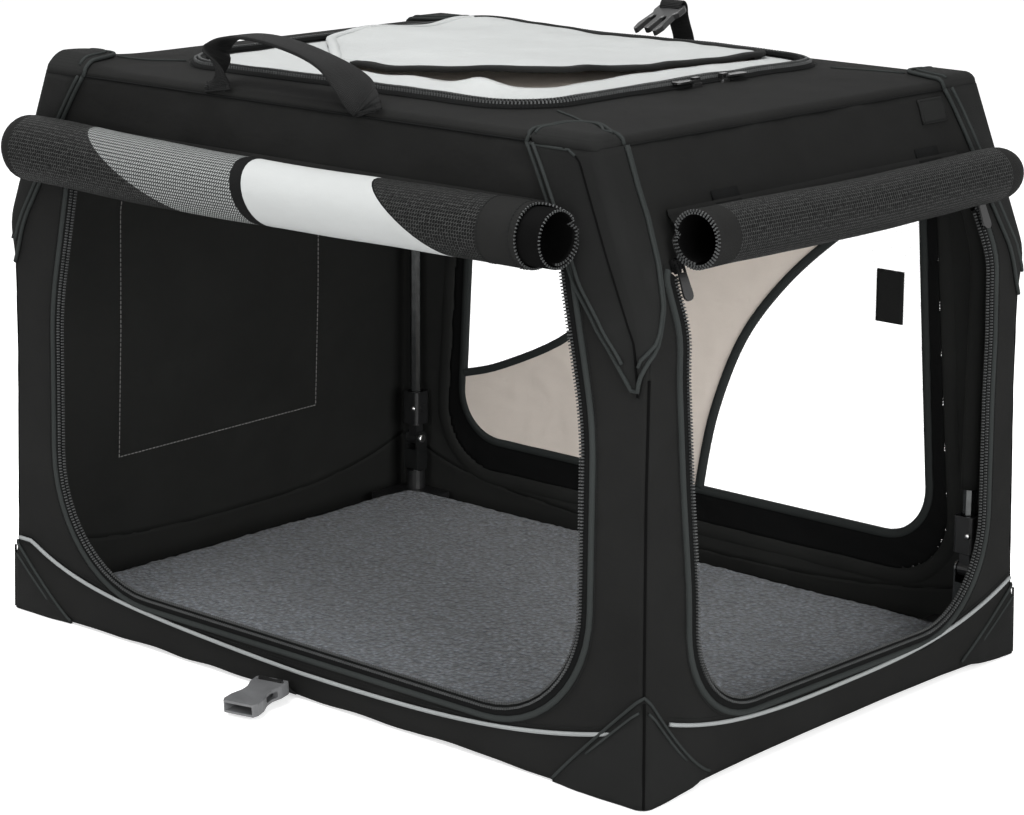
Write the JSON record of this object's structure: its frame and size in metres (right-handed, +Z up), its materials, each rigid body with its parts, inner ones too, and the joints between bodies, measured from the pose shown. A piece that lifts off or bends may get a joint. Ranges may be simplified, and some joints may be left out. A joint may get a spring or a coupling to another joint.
{
  "type": "folding pet kennel",
  "caption": "Portable soft-sided pet kennel on a folding steel frame, with rolled-up doors on a long and a short side, a roof hatch, a carrying handle and a loose fleece mat.",
  "frame": {"origin": "on the ground plane under the middle of the base", "axes": "+X towards the short end with the open doorway, -Y towards the long side with the open doorway, +Z up"},
  "size_m": [0.7889, 0.6041, 0.5762],
  "materials": {
    "dark_steel": "dark glossy coating",
    "frame_plastic": "moulded",
    "rivet_steel": "plain",
    "black_cloth": "woven polyester",
    "black_mesh": "knitted mesh",
    "pale_grey_cloth": "woven polyester",
    "grey_fleece": "curly fleece",
    "black_webbing": "ribbed webbing",
    "buckle_plastic": "satin",
    "zip_metal": "dark lacquer"
  },
  "bodies": {
    "base": {"base_rail_front": "dark_steel", "base_rail_rear": "dark_steel", "base_rail_left": "dark_steel", "base_rail_right": "dark_steel", "corner_connector_front_left": "frame_plastic", "corner_connector_front_right": "frame_plastic", "corner_connector_rear_left": "frame_plastic", "corner_connector_rear_right": "frame_plastic", "hinge_bracket_front_left": "dark_steel", "hinge_bracket_front_right": "dark_steel", "hinge_bracket_rear_left": "dark_steel", "hinge_bracket_rear_right": "dark_steel", "hinge_pin_front_left": "rivet_steel", "hinge_pin_front_right": "rivet_steel", "hinge_pin_rear_left": "rivet_steel", "hinge_pin_rear_right": "rivet_steel", "floor_panel": "black_cloth", "wall_front": "black_cloth", "wall_rear": "black_cloth", "wall_left": "black_cloth", "wall_right": "black_cloth", "skirt_front": "black_cloth", "skirt_rear": "black_cloth", "skirt_left": "black_cloth", "skirt_right": "black_cloth", "corner_patch_front_left": "black_cloth", "corner_patch_front_right": "black_cloth", "corner_patch_rear_left": "black_cloth", "corner_patch_rear_right": "black_cloth", "rear_door": "black_mesh", "outside_pocket": "black_cloth", "front_door_roll": "black_mesh", "right_door_roll": "black_mesh"},
    "front_hoop": {"front_hoop": "dark_steel", "hoop_foot_front_left": "frame_plastic", "hoop_foot_front_right": "frame_plastic"},
    "rear_hoop": {"rear_hoop": "dark_steel", "hoop_foot_rear_left": "frame_plastic", "hoop_foot_rear_right": "frame_plastic"},
    "mat": {"fleece_mat": "grey_fleece"},
    "roof": {"roof": "black_cloth", "roof_hatch": "pale_grey_cloth"},
    "handle": {"carry_handle": "black_webbing"},
    "front_buckle": {"buckle_socket": "buckle_plastic", "strap_stub": "black_webbing"},
    "rear_buckle": {"buckle_plug": "buckle_plastic", "rear_strap": "black_webbing"},
    "sleeve_front_left": {"lock_sleeve_front_left": "frame_plastic"},
    "sleeve_front_right": {"lock_sleeve_front_right": "frame_plastic"},
    "sleeve_rear_left": {"lock_sleeve_rear_left": "frame_plastic"},
    "sleeve_rear_right": {"lock_sleeve_rear_right": "frame_plastic"},
    "right_zip_front_slider": {"right_zip_front_slider": "zip_metal"},
    "right_zip_front_pull": {"right_zip_front_pull": "zip_metal"},
    "right_zip_rear_slider": {"right_zip_rear_slider": "zip_metal"},
    "right_zip_rear_pull": {"right_zip_rear_pull": "zip_metal"},
    "hatch_zip_front_slider": {"hatch_zip_front_slider": "zip_metal"},
    "hatch_zip_front_pull": {"hatch_zip_front_pull": "zip_metal"},
    "hatch_zip_rear_slider": {"hatch_zip_rear_slider": "zip_metal"},
    "hatch_zip_rear_pull": {"hatch_zip_rear_pull": "zip_metal"}
  },
  "joints": [
    {"name": "front_hoop_fold", "type": "hinge", "parent": "base", "child": "front_hoop", "pos_m": [0, -0.247, 0.136], "axis": [-1, 0, 0], "range_deg": [0, 90], "deforming": ["wall_front", "wall_rear", "wall_left", "wall_right", "rear_door", "outside_pocket", "front_door_roll", "right_door_roll", "roof", "roof_hatch"]},
    {"name": "rear_hoop_fold", "type": "hinge", "parent": "base", "child": "rear_hoop", "pos_m": [0, 0.245, 0.076], "axis": [1, 0, 0], "range_deg": [0, 90]},
    {"name": "roof_drop", "type": "slide", "parent": "base", "child": "roof", "axis": [0, 0, -1], "range_m": [0, 0.37]},
    {"name": "mat_lift", "type": "slide", "parent": "base", "child": "mat", "axis": [0, 0, 1], "range_m": [0, 0.25]},
    {"name": "handle_swing", "type": "hinge", "parent": "roof", "child": "handle", "pos_m": [0, -0.243, 0.5272], "axis": [-1, 0, 0], "range_deg": [-75, 75], "deforming": ["carry_handle"]},
    {"name": "front_buckle_swing", "type": "hinge", "parent": "base", "child": "front_buckle", "pos_m": [0, -0.2702, 0.0135], "axis": [-1, 0, 0], "range_deg": [0, 90], "deforming": ["strap_stub"]},
    {"name": "rear_buckle_swing", "type": "hinge", "parent": "roof", "child": "rear_buckle", "pos_m": [0, 0.26, 0.522], "axis": [-1, 0, 0], "range_deg": [0, 150], "deforming": ["rear_strap"]},
    {"name": "sleeve_slide_front_left", "type": "slide", "parent": "front_hoop", "child": "sleeve_front_left", "axis": [0, 0, 1], "range_m": [0, 0.03]},
    {"name": "sleeve_slide_front_right", "type": "slide", "parent": "front_hoop", "child": "sleeve_front_right", "axis": [0, 0, 1], "range_m": [0, 0.03]},
    {"name": "sleeve_slide_rear_left", "type": "slide", "parent": "rear_hoop", "child": "sleeve_rear_left", "axis": [0, 0, 1], "range_m": [0, 0.03]},
    {"name": "sleeve_slide_rear_right", "type": "slide", "parent": "rear_hoop", "child": "sleeve_rear_right", "axis": [0, 0, 1], "range_m": [0, 0.03]},
    {"name": "right_zip_front_slide", "type": "slide", "parent": "front_hoop", "child": "right_zip_front_slider", "axis": [0.3669, 0, -0.9303], "range_m": [0, 0.035]},
    {"name": "right_zip_front_pull_swing", "type": "hinge", "parent": "right_zip_front_slider", "child": "right_zip_front_pull", "pos_m": [0.36481, -0.2085, 0.4265], "axis": [0, -1, 0], "range_deg": [0, 150]},
    {"name": "right_zip_rear_slide", "type": "slide", "parent": "rear_hoop", "child": "right_zip_rear_slider", "axis": [0.3669, 0, -0.9303], "range_m": [0, 0.035]},
    {"name": "right_zip_rear_pull_swing", "type": "hinge", "parent": "right_zip_rear_slider", "child": "right_zip_rear_pull", "pos_m": [0.36481, 0.2085, 0.4265], "axis": [0, -1, 0], "range_deg": [0, 150]},
    {"name": "hatch_zip_front_slide", "type": "slide", "parent": "roof", "child": "hatch_zip_front_slider", "axis": [0, 1, 0], "range_m": [-0.13, 0.012]},
    {"name": "hatch_zip_front_pull_swing", "type": "hinge", "parent": "hatch_zip_front_slider", "child": "hatch_zip_front_pull", "pos_m": [0.2155, -0.004, 0.53436], "axis": [-1, 0, 0], "range_deg": [0, 150]},
    {"name": "hatch_zip_rear_slide", "type": "slide", "parent": "roof", "child": "hatch_zip_rear_slider", "axis": [0, 1, 0], "range_m": [-0.012, 0.1]},
    {"name": "hatch_zip_rear_pull_swing", "type": "hinge", "parent": "hatch_zip_rear_slider", "child": "hatch_zip_rear_pull", "pos_m": [0.2155, 0.034, 0.53434], "axis": [1, 0, 0], "range_deg": [0, 150]}
  ],
  "couplings": [
    {"joint": "rear_hoop_fold", "follows": "front_hoop_fold", "ratio": 1},
    {"joint": "roof_drop", "follows": "front_hoop_fold", "m_per_rad": 0.234}
  ]
}
